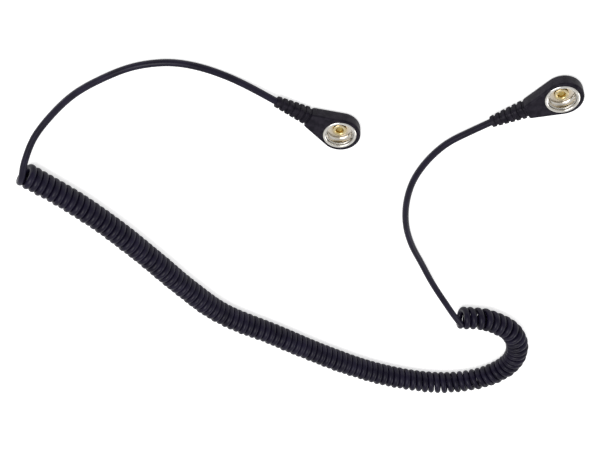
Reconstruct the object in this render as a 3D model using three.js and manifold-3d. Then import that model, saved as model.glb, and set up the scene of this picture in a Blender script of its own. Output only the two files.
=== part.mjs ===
/**
 * Coiled earthing cord with a moulded 10 mm snap end at each end.
 *
 * The wrist end holds the safety resistor, the ground end is wired straight through.
 * Both ends lie on their flat backs with the snap sockets facing up. Units are
 * millimetres, +Z is up, and the origin lies on the resting surface under the middle
 * of the wrist end's socket.
 */
import * as THREE from 'three';
import { mergeVertices } from 'three/addons/utils/BufferGeometryUtils.js';
import Module from 'manifold-3d';

const wasm = await Module();
wasm.setup();

// ---------------------------------------------------------------- driving dimensions

const CLEARANCE = 0.3;          // gap between neighbouring solids

// snap socket, drawn from sheet for the stud it grips
const STUD_DIAMETER = 10;       // head of the stud that snaps in
const STUD_PLAY = 0.05;         // between the stud's head and the pocket wall
const LIP_PLAY = 0.3;           // between the stud's head and the rolled lip
const SPRING_GRIP = 0.2;        // how far each spring leg reaches in over the stud
const SPRING_WIRE = 0.7;        // wire thickness of the spring legs
const SPRING_ROOM = 0.45;       // free space behind a spring leg
const SPRING_NOSE_GAP = 1.4;    // between the free ends of the two legs
const SHEET = 0.3;              // sheet thickness of the socket
const RIM_OVERHANG = 0.15;      // how far the rolled rim stands out past the wall
const LIP_THICKNESS = 0.45;
const POCKET_DEPTH = 1.6;       // socket floor up to the ledge under the spring
const FLOOR_CORNER = 0.5;       // chamfer where the floor turns up into the wall

// closed eyelet that rivets the socket to the terminal
const EYELET_HOLE = 2.4;        // diameter of its blind bore
const EYELET_DEPTH = 1.15;      // crown down to the bore's floor
const EYELET_WALL = 0.5;
const EYELET_FLANGE = 5.2;      // head diameter
const EYELET_FLANGE_THICKNESS = 0.4;
const EYELET_THROAT = 0.8;      // radius of the bore's flared mouth
const EYELET_EDGE = 0.15;       // chamfer around the head
const CLINCH_FLANGE = 4.6;      // headed-over end on the back, diameter
const CLINCH_THICKNESS = 0.3;

// terminal, resistor and splice
const TERMINAL_RING = 6.6;      // outer diameter of the terminal's ring
const TERMINAL_THICKNESS = 0.3;
const TERMINAL_STRIP = 1.6;     // width of the strip to the barrel
const BARREL_LENGTH = 2.4;
const BARREL_WALL = 0.35;
const BARREL_STANDOFF = 0.25;   // from the socket wall's clearance to the barrel
const RESISTOR_LENGTH = 3.4;
const RESISTOR_DIAMETER = 1.9;
const RESISTOR_WAIST = 0.1;     // how far the middle lies below the end caps
const RESISTOR_WIRE = 0.6;
const RESISTOR_STANDOFF = 0.9;  // bare wire between the barrel and the body
const SLEEVE_WALL = 0.25;
const SLEEVE_OVERLAP = 0.7;     // how far the sleeve reaches past the body
const SPLICE_LENGTH = 2.2;
const SPLICE_WALL = 0.25;

// cord
const CORD_DIAMETER = 2.7;
const CONDUCTOR_DIAMETER = 0.7;
const COIL_OUTER_DIAMETER = 10.1;

// moulded housing
const BACK_WALL = 0.7;          // under the clinched eyelet
const RIM_PROUD = 0.05;         // rim above the housing's face
const HOUSING_WALL = 0.85;      // around the socket
const SOCKET_SETBACK = 0.45;    // from the middle of the round end to the socket axis
const BACK_ROUNDING = 1.8;
const FACE_ROUNDING = 0.8;
const NECK_LENGTH = 13.95;      // socket axis to the root of the strain relief
const NECK_WIDTH = 6.4;

// strain relief
const RELIEF_LENGTH = 13.8;
const RELIEF_WALL = 0.2;        // under the last groove
const RIB_COUNT = 6;
const GROOVE_WIDTH = 0.75;
const GROOVE_DEPTH = 0.3;
const ROOT_SQUARENESS = 4;      // superellipse exponent of the root ribs; 2 is round
const RIB_CHAMFER = 0.25;
const ROOT_STEP = 0.1;          // root ribs lie this far below the housing's two faces
const ROOT_OVERLAP = 2;         // relief core that runs on inside the housing

// where the two ends lie, and which way each is turned about its socket axis
const ENDS = {
  wrist: { at: [0, 0], turnDegrees: -29.6, resistor: true },
  ground: { at: [80.6, 20.8], turnDegrees: 31, resistor: false },
};

// Route of each lead between its end and the coil: [x, y, z] of the cord's middle.
const WRIST_ROUTE = [
  [-34, 19.5, 1.95],
  [-43, 24.1, 1.35],
  [-53, 28, 1.35],
  [-63.5, 29.5, 1.35],
  [-76, 27.2, 1.35],
  [-87.9, 21.3, 1.35],
  [-99.4, 13.25, 1.35],
  [-109.3, 2.8, 1.75],
  [-117.3, -7.4, 4.3],
  [-121.7, -17.2, 7.4],
  [-123, -22, 8.55],
  [-124, -25.3, 8.75],
  [-125, -28, 7.7],
];
const GROUND_ROUTE = [
  [49.2, 0, 1.9],
  [41.6, -6.7, 1.35],
  [35, -16.2, 1.35],
  [30.5, -27.6, 1.35],
  [28.9, -40.5, 1.35],
  [29.9, -53.5, 1.35],
  [33.3, -65.5, 1.35],
  [38.3, -76.4, 1.6],
  [44.4, -87.9, 3.8],
  [51.4, -98.2, 7],
  [55.3, -104.1, 8.3],
  [58.7, -109.3, 8.75],
];
// Route of the coil's axis over the resting surface: [x, y].
const COIL_ROUTE = [
  [-122.05, -27.25],
  [-104.9, -42.4],
  [-89.9, -58.8],
  [-75.9, -76.8],
  [-62.4, -94.9],
  [-47.1, -111.7],
  [-24.5, -125.6],
  [-2.1, -139.8],
  [20.9, -151.8],
  [43, -158.4],
  [61.1, -158.9],
  [75.7, -153.6],
  [85.8, -142.7],
  [87.4, -129.3],
  [82.2, -117.7],
  [72, -110.9],
  [65.8, -109.5],
  [60.3, -109.3],
];

// fineness of the curved surfaces
const FINE = 40;
const MEDIUM = 24;
const COARSE = 16;
const CORD_SIDES = 8;
const COIL_SIDES = 12;
const LEAD_STEPS = 36;
const COIL_STEPS = 60;

// ---------------------------------------------------------------- fits worked out from them

const clinchBottom = BACK_WALL + CLEARANCE;
const clinchTop = clinchBottom + CLINCH_THICKNESS;
const terminalBottom = clinchTop + CLEARANCE;
const terminalTop = terminalBottom + TERMINAL_THICKNESS;
const floorBottom = terminalTop + CLEARANCE;
const floorTop = floorBottom + SHEET;
const ledgeTop = floorTop + POCKET_DEPTH;
const ledgeBottom = ledgeTop - SHEET;
const springMiddle = ledgeTop + CLEARANCE + SPRING_WIRE / 2;
const lipBottom = springMiddle + SPRING_WIRE / 2 + CLEARANCE;
const rimTop = lipBottom + LIP_THICKNESS;
const faceHeight = rimTop - RIM_PROUD;
const axisHeight = faceHeight / 2;

const studRadius = STUD_DIAMETER / 2;
const pocketRadius = studRadius + STUD_PLAY;
const pocketOuterRadius = pocketRadius + SHEET;
const lipRadius = studRadius + LIP_PLAY;
const springRadius = studRadius - SPRING_GRIP + SPRING_WIRE / 2;
const wallRadius = springRadius + SPRING_WIRE / 2 + SPRING_ROOM;
const wallOuterRadius = wallRadius + SHEET;
const rimRadius = wallOuterRadius + RIM_OVERHANG;
const housingRadius = rimRadius + CLEARANCE + HOUSING_WALL;

const shankRadius = EYELET_HOLE / 2 + EYELET_WALL;
const rivetHoleRadius = shankRadius + CLEARANCE;

const cordRadius = CORD_DIAMETER / 2;
const cordBoreRadius = cordRadius + CLEARANCE;
const conductorRadius = CONDUCTOR_DIAMETER / 2;
const wireBoreRadius = Math.max(RESISTOR_WIRE / 2, conductorRadius) + CLEARANCE;
const barrelRadius = wireBoreRadius + BARREL_WALL;
const sleeveBoreRadius = RESISTOR_DIAMETER / 2 + CLEARANCE;
const sleeveRadius = sleeveBoreRadius + SLEEVE_WALL;

// stations along the cord's axis, counted from the socket axis towards the cord
const barrelStart = wallOuterRadius + CLEARANCE + BARREL_STANDOFF;
const barrelEnd = barrelStart + BARREL_LENGTH;
const wireStart = barrelStart + CLEARANCE;
const resistorStart = barrelEnd + CLEARANCE + RESISTOR_STANDOFF;
const resistorEnd = resistorStart + RESISTOR_LENGTH;
const sleeveStart = barrelEnd + CLEARANCE;
const sleeveEnd = resistorEnd + SLEEVE_OVERLAP;
const spliceStart = sleeveEnd + CLEARANCE;
const spliceEnd = spliceStart + SPLICE_LENGTH;
const spliceMiddle = (spliceStart + spliceEnd) / 2;
const reliefTip = NECK_LENGTH + RELIEF_LENGTH;

// ---------------------------------------------------------------- geometry helpers

/** Turns a closed three.js geometry into a solid for joining and cutting. */
function toSolid(geometry) {
  const bare = geometry.clone();
  bare.deleteAttribute('normal');
  bare.deleteAttribute('uv');
  const merged = mergeVertices(bare, 1e-4);
  return new wasm.Manifold(new wasm.Mesh({
    numProp: 3,
    vertProperties: new Float32Array(merged.attributes.position.array),
    triVerts: new Uint32Array(merged.index.array),
  }));
}

/** Turns a solid back into a three.js geometry. */
function toGeometry(solid) {
  const mesh = solid.getMesh();
  const geometry = new THREE.BufferGeometry();
  geometry.setAttribute('position', new THREE.BufferAttribute(mesh.vertProperties, 3));
  geometry.setIndex(new THREE.BufferAttribute(mesh.triVerts, 1));
  geometry.computeVertexNormals();
  return geometry;
}

/** Spins a profile of [radius, height] pairs about +Z. */
function spinUpright(profile, segments) {
  const points = profile.map(([radius, height]) => new THREE.Vector2(radius, height));
  return new THREE.LatheGeometry(points, segments).rotateX(Math.PI / 2);
}

/** Spins a profile of [radius, station] pairs about the cord's axis, which runs along -X. */
function spinAlongCord(profile, segments) {
  const points = profile.map(([radius, station]) => new THREE.Vector2(radius, station));
  return new THREE.LatheGeometry(points, segments).rotateZ(Math.PI / 2).translate(0, 0, axisHeight);
}

/** A profile closed on itself, as a ring or a tube has it. */
const closed = (profile) => [...profile, profile[0]];

/** A round bar along the cord's axis. */
function barAlongCord(radius, start, end, segments) {
  return spinAlongCord([[0, start], [radius, start], [radius, end], [0, end]], segments);
}

/** A tube along the cord's axis. */
function tubeAlongCord(bore, radius, start, end, segments) {
  return spinAlongCord(closed([[bore, start], [radius, start], [radius, end], [bore, end]]), segments);
}

/** A round section swept along a path in a whole number of steps. */
function sweep(path, radius, sides, fineness) {
  const section = new THREE.Shape().absarc(0, 0, radius, 0, 2 * Math.PI);
  const steps = Math.round(fineness);
  return new THREE.ExtrudeGeometry(section, { steps, curveSegments: sides, extrudePath: path });
}

/** A smooth path through a list of [x, y, z] points. */
function smoothPath(points) {
  const vectors = points.map((point) => new THREE.Vector3(...point));
  return new THREE.CatmullRomCurve3(vectors, false, 'catmullrom', 0.5);
}

/** An arc about +Z at a given height. */
class LevelArc extends THREE.Curve {
  constructor(radius, height, startAngle, endAngle) {
    super();
    Object.assign(this, { radius, height, startAngle, endAngle });
  }

  getPoint(t, target = new THREE.Vector3()) {
    const angle = THREE.MathUtils.lerp(this.startAngle, this.endAngle, t);
    return target.set(this.radius * Math.cos(angle), this.radius * Math.sin(angle), this.height);
  }
}

// ---------------------------------------------------------------- the moulded housing

/** Teardrop outline: round past the socket, running in straight lines to the neck. */
function teardrop() {
  const neckHalf = NECK_WIDTH / 2;
  const neckReach = NECK_LENGTH + SOCKET_SETBACK;
  const tangent = Math.atan2(neckHalf, -neckReach) - Math.acos(housingRadius / Math.hypot(neckReach, neckHalf));
  const outline = new THREE.Shape();
  outline.moveTo(-NECK_LENGTH, -neckHalf);
  outline.lineTo(SOCKET_SETBACK + housingRadius * Math.cos(tangent), -housingRadius * Math.sin(tangent));
  outline.absarc(SOCKET_SETBACK, 0, housingRadius, -tangent, tangent, false);
  outline.lineTo(-NECK_LENGTH, neckHalf);
  outline.closePath();
  return outline;
}

/** The teardrop extruded from one height to another, with both edges rounded. */
function roundedTeardrop(bottom, top, rounding) {
  return new THREE.ExtrudeGeometry(teardrop(), {
    depth: top - bottom - 2 * rounding,
    curveSegments: COARSE,
    bevelThickness: rounding,
    bevelSize: rounding,
    bevelOffset: -rounding,
    bevelSegments: 3,
  }).translate(0, 0, bottom + rounding);
}

/** The housing's body: a large rounding at the back and a small one at the face. */
function housingBody() {
  const roundBack = toSolid(roundedTeardrop(0, faceHeight + 2 * BACK_ROUNDING, BACK_ROUNDING));
  const crispFace = toSolid(roundedTeardrop(-2 * FACE_ROUNDING, faceHeight, FACE_ROUNDING));
  return roundBack.intersect(crispFace);
}

/** Half the strain relief's width over its ribs at a station along the cord. */
function reliefRadius(station) {
  const tipRadius = cordBoreRadius + RELIEF_WALL + GROOVE_DEPTH;
  const share = Math.max(0, (station - NECK_LENGTH) / RELIEF_LENGTH);
  return THREE.MathUtils.lerp(NECK_WIDTH / 2, tipRadius, share);
}

/** How much farther out a rounded square reaches than a circle, in a given direction. */
function squaring(angle, exponent) {
  return (Math.abs(Math.cos(angle)) ** exponent + Math.abs(Math.sin(angle)) ** exponent) ** (-1 / exponent);
}

/** The ribbed strain relief: round at its tip, squared and flattened to the housing at its root. */
function strainRelief() {
  const coreRadius = (station) => reliefRadius(station) - GROOVE_DEPTH;
  const pitch = RELIEF_LENGTH / RIB_COUNT;
  const profile = [[0, NECK_LENGTH - ROOT_OVERLAP], [coreRadius(NECK_LENGTH), NECK_LENGTH - ROOT_OVERLAP]];
  for (let rib = 0; rib < RIB_COUNT; rib += 1) {
    const start = NECK_LENGTH + rib * pitch + GROOVE_WIDTH;
    const end = NECK_LENGTH + (rib + 1) * pitch;
    profile.push(
      [coreRadius(start), start],
      [reliefRadius(start) - RIB_CHAMFER, start],
      [reliefRadius(start), start + RIB_CHAMFER],
      [reliefRadius(end), end - RIB_CHAMFER],
      [reliefRadius(end) - RIB_CHAMFER, end],
    );
    if (rib < RIB_COUNT - 1) profile.push([coreRadius(end), end]);
  }
  profile.push([0, reliefTip]);
  const relief = spinAlongCord(profile, MEDIUM);
  const rootFlattening = (faceHeight - 2 * ROOT_STEP) / NECK_WIDTH;
  const corners = relief.attributes.position;
  for (let i = 0; i < corners.count; i += 1) {
    const share = THREE.MathUtils.clamp((-corners.getX(i) - NECK_LENGTH) / RELIEF_LENGTH, 0, 1);
    const flattening = THREE.MathUtils.lerp(rootFlattening, 1, share);
    const across = corners.getY(i);
    const above = corners.getZ(i) - axisHeight;
    const reach = squaring(Math.atan2(above, across), THREE.MathUtils.lerp(ROOT_SQUARENESS, 2, share));
    corners.setY(i, across * reach);
    corners.setZ(i, axisHeight + above * reach * flattening);
  }
  return toSolid(relief);
}

/** A straight-sided block of the terminal's strip, with a gap all round where it passes the housing. */
function stripBlock(start, end, bottom, top, gap) {
  return toSolid(new THREE.BoxGeometry(end - start + 2 * gap, TERMINAL_STRIP + 2 * gap, top - bottom + gap)
    .translate(-(start + end) / 2, 0, (bottom + top - gap) / 2));
}

/** Everything that is hollow inside the housing: the socket's well, the chamber, the cord bore. */
function housingHollow(hasResistor) {
  const lowerWell = toSolid(spinUpright([
    [0, BACK_WALL],
    [pocketOuterRadius + CLEARANCE, BACK_WALL],
    [pocketOuterRadius + CLEARANCE, rimTop],
    [0, rimTop],
  ], FINE));
  const upperWell = toSolid(spinUpright([
    [0, ledgeBottom - CLEARANCE],
    [rimRadius + CLEARANCE, ledgeBottom - CLEARANCE],
    [rimRadius + CLEARANCE, rimTop],
    [0, rimTop],
  ], FINE));
  const bore = toSolid(barAlongCord(cordBoreRadius, 0, reliefTip + CLEARANCE, MEDIUM));
  const slot = stripBlock(0, barrelEnd, terminalBottom, axisHeight, CLEARANCE);
  const hollow = lowerWell.add(upperWell).add(bore).add(slot);
  if (!hasResistor) return hollow;
  const chamber = toSolid(barAlongCord(sleeveRadius + CLEARANCE, 0, sleeveEnd + CLEARANCE, MEDIUM));
  return hollow.add(chamber);
}

/** One moulded housing with its strain relief. */
function housing(hasResistor) {
  return toGeometry(housingBody().add(strainRelief()).subtract(housingHollow(hasResistor)));
}

// ---------------------------------------------------------------- the snap

/** The drawn socket: floor with the rivet hole, pocket, ledge, outer wall and rolled rim. */
function socket() {
  const curl = LIP_THICKNESS / 3;
  return spinUpright(closed([
    [rivetHoleRadius, floorBottom],
    [pocketOuterRadius - FLOOR_CORNER, floorBottom],
    [pocketOuterRadius, floorBottom + FLOOR_CORNER],
    [pocketOuterRadius, ledgeBottom],
    [wallOuterRadius, ledgeBottom],
    [wallOuterRadius, lipBottom],
    [rimRadius, lipBottom + curl],
    [rimRadius, rimTop - curl],
    [rimRadius - curl, rimTop],
    [lipRadius + curl, rimTop],
    [lipRadius, rimTop - curl],
    [lipRadius, lipBottom + curl],
    [lipRadius + curl, lipBottom],
    [wallRadius, lipBottom],
    [wallRadius, ledgeTop],
    [pocketRadius, ledgeTop],
    [pocketRadius, floorTop + FLOOR_CORNER],
    [pocketRadius - FLOOR_CORNER, floorTop],
    [rivetHoleRadius, floorTop],
  ]), FINE);
}

/** One leg of the wire spring, from its root beside the neck to its free end at the nose. */
function springLeg(side) {
  const rootAngle = Math.PI - CLEARANCE / 2 / springRadius;
  const noseAngle = SPRING_NOSE_GAP / 2 / springRadius;
  const arc = new LevelArc(springRadius, springMiddle, side * rootAngle, side * noseAngle);
  return sweep(arc, SPRING_WIRE / 2, CORD_SIDES, COARSE);
}

/** The closed eyelet: flared head in the socket, shank, and clinched flange on the back. */
function eyelet() {
  const hole = EYELET_HOLE / 2;
  const head = EYELET_FLANGE / 2;
  const seat = floorTop + CLEARANCE;
  const crown = seat + EYELET_FLANGE_THICKNESS;
  const flare = [90, 60, 30, 0].map(THREE.MathUtils.degToRad).map((angle) => [
    hole + EYELET_THROAT * (1 - Math.cos(angle)),
    crown - EYELET_THROAT * (1 - Math.sin(angle)),
  ]);
  return spinUpright([
    [0, clinchBottom],
    [CLINCH_FLANGE / 2, clinchBottom],
    [CLINCH_FLANGE / 2, clinchTop],
    [shankRadius, clinchTop],
    [shankRadius, seat],
    [head, seat],
    [head, crown - EYELET_EDGE],
    [head - EYELET_EDGE, crown],
    ...flare,
    [hole, crown - EYELET_DEPTH],
    [0, crown - EYELET_DEPTH],
  ], MEDIUM);
}

// ---------------------------------------------------------------- the wiring

/** The terminal: a ring on the eyelet, a strip turned up at its end, and the crimp barrel. */
function terminal() {
  const ring = toSolid(spinUpright(closed([
    [rivetHoleRadius, terminalBottom],
    [TERMINAL_RING / 2, terminalBottom],
    [TERMINAL_RING / 2, terminalTop],
    [rivetHoleRadius, terminalTop],
  ]), MEDIUM));
  const stripStart = (rivetHoleRadius + TERMINAL_RING / 2) / 2;
  const strip = stripBlock(stripStart, barrelEnd, terminalBottom, terminalTop, 0);
  const saddle = stripBlock(barrelStart, barrelEnd, terminalBottom, axisHeight, 0);
  const barrel = toSolid(barAlongCord(barrelRadius, barrelStart, barrelEnd, COARSE));
  const bore = toSolid(barAlongCord(wireBoreRadius, barrelStart - CLEARANCE, barrelEnd + CLEARANCE, COARSE));
  return toGeometry(ring.add(strip).add(saddle).add(barrel).subtract(bore));
}

/** The axial safety resistor with its two wires. */
function resistor() {
  const wire = RESISTOR_WIRE / 2;
  const cap = RESISTOR_DIAMETER / 2;
  const waist = cap - RESISTOR_WAIST;
  const capLength = RESISTOR_LENGTH / 4;
  return spinAlongCord([
    [0, wireStart],
    [wire, wireStart],
    [wire, resistorStart],
    [waist, resistorStart],
    [cap, resistorStart + RESISTOR_WAIST],
    [cap, resistorStart + capLength],
    [waist, resistorStart + capLength + RESISTOR_WAIST],
    [waist, resistorEnd - capLength - RESISTOR_WAIST],
    [cap, resistorEnd - capLength],
    [cap, resistorEnd - RESISTOR_WAIST],
    [waist, resistorEnd],
    [wire, resistorEnd],
    [wire, spliceMiddle - CLEARANCE / 2],
    [0, spliceMiddle - CLEARANCE / 2],
  ], COARSE);
}

/** The shrunk sleeve around the resistor. */
const resistorSleeve = () => tubeAlongCord(sleeveBoreRadius, sleeveRadius, sleeveStart, sleeveEnd, COARSE);

/** The crimped tube that joins the resistor's wire to the conductor. */
const splice = () => tubeAlongCord(
  wireBoreRadius, wireBoreRadius + SPLICE_WALL, spliceStart, spliceEnd, COARSE,
);

/** The stranded conductor inside the end, from its joint out to the strain relief's tip. */
const conductor = (start) => barAlongCord(conductorRadius, start, reliefTip, COARSE);

/** The jacket's end inside the housing and its strain relief. */
const jacketEnd = (start) => tubeAlongCord(
  conductorRadius + CLEARANCE, cordRadius, start + CLEARANCE, reliefTip, COARSE,
);

// ---------------------------------------------------------------- the free cord

/** The middle of the cord a clearance off the tip of an end's strain relief. */
function tipPoint({ at, turnDegrees }) {
  const turn = THREE.MathUtils.degToRad(turnDegrees);
  const reach = reliefTip + CLEARANCE;
  return [at[0] - reach * Math.cos(turn), at[1] - reach * Math.sin(turn), axisHeight];
}

/** One uncoiled lead, from its end's strain relief over the top of the coil's last turn. */
function lead(end, route) {
  return sweep(smoothPath([tipPoint(end), ...route]), cordRadius, CORD_SIDES, LEAD_STEPS);
}

/** The coiled stretch as one plain tube of the coil's outer diameter. */
function coil() {
  const coilRadius = COIL_OUTER_DIAMETER / 2;
  const axis = smoothPath(COIL_ROUTE.map(([x, y]) => [x, y, coilRadius]));
  return sweep(axis, coilRadius, COIL_SIDES, COIL_STEPS);
}

// ---------------------------------------------------------------- assembly

const finishes = {
  moulding: { color: 0x17161c, roughness: 0.5, metalness: 0 },
  jacket: { color: 0x1b1a20, roughness: 0.42, metalness: 0 },
  nickel: { color: 0xd3d1ca, roughness: 0.22, metalness: 1 },
  springWire: { color: 0xb9b8b2, roughness: 0.3, metalness: 1 },
  brass: { color: 0xc9a24a, roughness: 0.3, metalness: 1 },
  tin: { color: 0xb4b5b3, roughness: 0.4, metalness: 1 },
  copper: { color: 0xb06a3c, roughness: 0.4, metalness: 1 },
  ceramic: { color: 0x6f9fb4, roughness: 0.6, metalness: 0 },
  shrinkSleeve: { color: 0x24242a, roughness: 0.6, metalness: 0 },
};

/** A named mesh with a material of its own. */
function piece(name, geometry, finish) {
  const mesh = new THREE.Mesh(geometry, new THREE.MeshStandardMaterial(finishes[finish]));
  mesh.name = name;
  return mesh;
}

/** One complete snap end, in its own frame about the socket axis, then set where it lies. */
function snapEnd(name, { at, turnDegrees, resistor: hasResistor }) {
  const end = new THREE.Group();
  const conductorStart = hasResistor ? spliceMiddle + CLEARANCE / 2 : wireStart;
  const jacketStart = hasResistor ? spliceEnd : barrelEnd;
  end.add(
    piece(`${name}_housing`, housing(hasResistor), 'moulding'),
    piece(`${name}_socket`, socket(), 'nickel'),
    piece(`${name}_spring_left`, springLeg(1), 'springWire'),
    piece(`${name}_spring_right`, springLeg(-1), 'springWire'),
    piece(`${name}_eyelet`, eyelet(), 'brass'),
    piece(`${name}_terminal`, terminal(), 'tin'),
    piece(`${name}_conductor`, conductor(conductorStart), 'copper'),
    piece(`${name}_jacket_end`, jacketEnd(jacketStart), 'jacket'),
  );
  if (hasResistor) {
    end.add(
      piece(`${name}_resistor`, resistor(), 'ceramic'),
      piece(`${name}_resistor_sleeve`, resistorSleeve(), 'shrinkSleeve'),
      piece(`${name}_splice`, splice(), 'tin'),
    );
  }
  end.position.set(at[0], at[1], 0);
  end.rotation.z = THREE.MathUtils.degToRad(turnDegrees);
  return end;
}

const cord = new THREE.Group();
cord.add(
  snapEnd('wrist', ENDS.wrist),
  snapEnd('ground', ENDS.ground),
  piece('cord_wrist_lead', lead(ENDS.wrist, WRIST_ROUTE), 'jacket'),
  piece('cord_coil', coil(), 'jacket'),
  piece('cord_ground_lead', lead(ENDS.ground, GROUND_ROUTE), 'jacket'),
);

export default cord;
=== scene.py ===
"""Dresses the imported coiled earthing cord.

The cord lies on a pale table with both snap ends on their flat backs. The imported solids
are loaded as a fixed frame. Every visible piece gets a finished surface built from the
same sizes, and the pieces hidden in the ends keep their solids with a proper finish.
Meshes are shaped in millimetres and brought to metres when they are placed.
"""

from __future__ import annotations

import logging
import math
from bisect import bisect_right
from dataclasses import dataclass, field
from enum import Enum
from itertools import accumulate
from typing import Sequence

import bmesh
import bpy
from mathutils import Matrix, Vector


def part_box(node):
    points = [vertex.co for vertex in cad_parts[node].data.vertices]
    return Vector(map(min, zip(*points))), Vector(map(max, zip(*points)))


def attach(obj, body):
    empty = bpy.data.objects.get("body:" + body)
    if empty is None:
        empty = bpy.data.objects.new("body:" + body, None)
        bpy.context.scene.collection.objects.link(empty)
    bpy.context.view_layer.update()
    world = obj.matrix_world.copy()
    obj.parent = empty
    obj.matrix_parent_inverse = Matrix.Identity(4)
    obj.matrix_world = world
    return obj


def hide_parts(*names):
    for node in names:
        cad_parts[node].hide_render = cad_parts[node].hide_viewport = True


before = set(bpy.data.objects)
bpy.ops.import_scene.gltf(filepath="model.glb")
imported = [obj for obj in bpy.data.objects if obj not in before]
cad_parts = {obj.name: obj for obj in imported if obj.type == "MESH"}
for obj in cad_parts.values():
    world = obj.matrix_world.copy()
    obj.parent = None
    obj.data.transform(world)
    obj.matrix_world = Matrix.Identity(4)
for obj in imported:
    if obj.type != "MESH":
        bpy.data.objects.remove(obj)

logging.basicConfig(level=logging.INFO, format="%(message)s")
LOG = logging.getLogger("earthing_cord")

MM = 0.001
FIXED_BODY = "cord"
CORD_LENGTH = 2.82

Point = tuple[float, float, float]
Colour = tuple[float, float, float]
Wave = tuple[float, float, float]
Profile = list[tuple[float, float]]
Socket = bpy.types.NodeSocket
Material = bpy.types.Material
Piece = bpy.types.Object
Mesh = bmesh.types.BMesh
Edge = bmesh.types.BMEdge
Vert = bmesh.types.BMVert


# --------------------------------------------------------------------------- options


class End(Enum):
    """The two snap ends, by the first word of their nodes' names."""

    WRIST = "wrist"
    GROUND = "ground"


class Leg(Enum):
    """The two legs of a ring spring, by their side of the end's long axis."""

    LEFT = 1
    RIGHT = -1


END_TURNS = {End.WRIST: -29.6, End.GROUND: 31.0}


# --------------------------------------------------------------------------- node bench


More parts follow.
